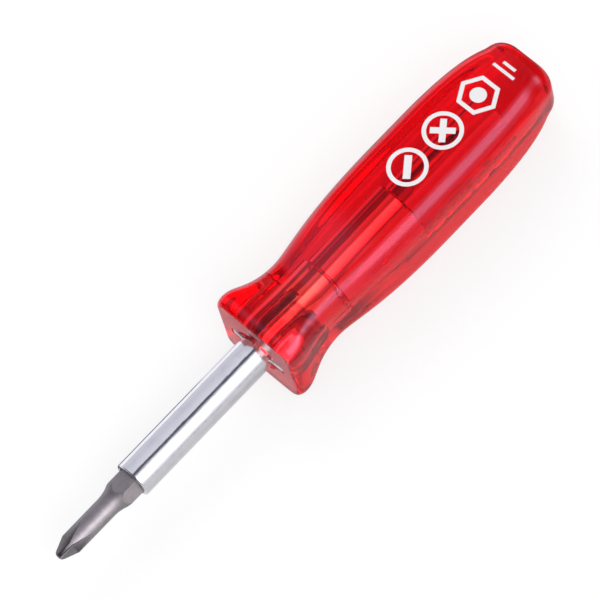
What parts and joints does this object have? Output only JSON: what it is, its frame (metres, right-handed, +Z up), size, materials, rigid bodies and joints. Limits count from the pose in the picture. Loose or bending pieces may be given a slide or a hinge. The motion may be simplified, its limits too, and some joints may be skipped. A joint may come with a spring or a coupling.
{
  "type": "multi-bit screwdriver",
  "caption": "Reversible multi-bit screwdriver: clear red square-section handle, plated socket shaft that pulls out and turns round, and double-ended bits held by sprung balls.",
  "frame": {"origin": "under the middle of the tool, on the surface that it lies on", "axes": "+X along the tool axis from the working tip to the butt, +Z up out of the handle's upper long face"},
  "size_m": [0.1898, 0.0286, 0.0286],
  "materials": {
    "handle_red": "clear red moulded plastic, polished",
    "shaft_chrome": "bright plating on steel",
    "bit_steel": "blasted satin grey",
    "ball_steel": "polished bearing steel",
    "spring_wire": "drawn spring wire"
  },
  "bodies": {
    "handle_body": {"handle": "handle_red"},
    "shaft_body": {"shaft_tube": "shaft_chrome", "shaft_spring": "spring_wire"},
    "shaft_ball_body": {"shaft_ball": "ball_steel"},
    "front_bit_body": {"front_bit": "bit_steel", "front_bit_spring": "spring_wire"},
    "front_ball_body": {"front_bit_ball": "ball_steel"},
    "rear_bit_body": {"rear_bit": "bit_steel", "rear_bit_spring": "spring_wire"},
    "rear_ball_body": {"rear_bit_ball": "ball_steel"}
  },
  "joints": [
    {"name": "shaft_slide", "type": "slide", "parent": "handle_body", "child": "shaft_body", "axis": [-1, 0, 0], "range_m": [0, 0.095]},
    {"name": "front_bit_slide", "type": "slide", "parent": "shaft_body", "child": "front_bit_body", "axis": [-1, 0, 0], "range_m": [0, 0.04]},
    {"name": "rear_bit_slide", "type": "slide", "parent": "shaft_body", "child": "rear_bit_body", "axis": [1, 0, 0], "range_m": [0, 0.009]},
    {"name": "shaft_ball_press", "type": "slide", "parent": "shaft_body", "child": "shaft_ball_body", "axis": [0, -0.7071, -0.7071], "range_m": [0, 0.0005], "stiffness_N_per_m": 400, "springref_m": -0.0006, "deforming": ["shaft_spring"]},
    {"name": "front_ball_press", "type": "slide", "parent": "front_bit_body", "child": "front_ball_body", "axis": [0, 0, -1], "range_m": [0, 0.0005], "stiffness_N_per_m": 400, "springref_m": -0.0006, "deforming": ["front_bit_spring"]},
    {"name": "rear_ball_press", "type": "slide", "parent": "rear_bit_body", "child": "rear_ball_body", "axis": [0, 0, -1], "range_m": [0, 0.0005], "stiffness_N_per_m": 400, "springref_m": -0.0006, "deforming": ["rear_bit_spring"]}
  ]
}
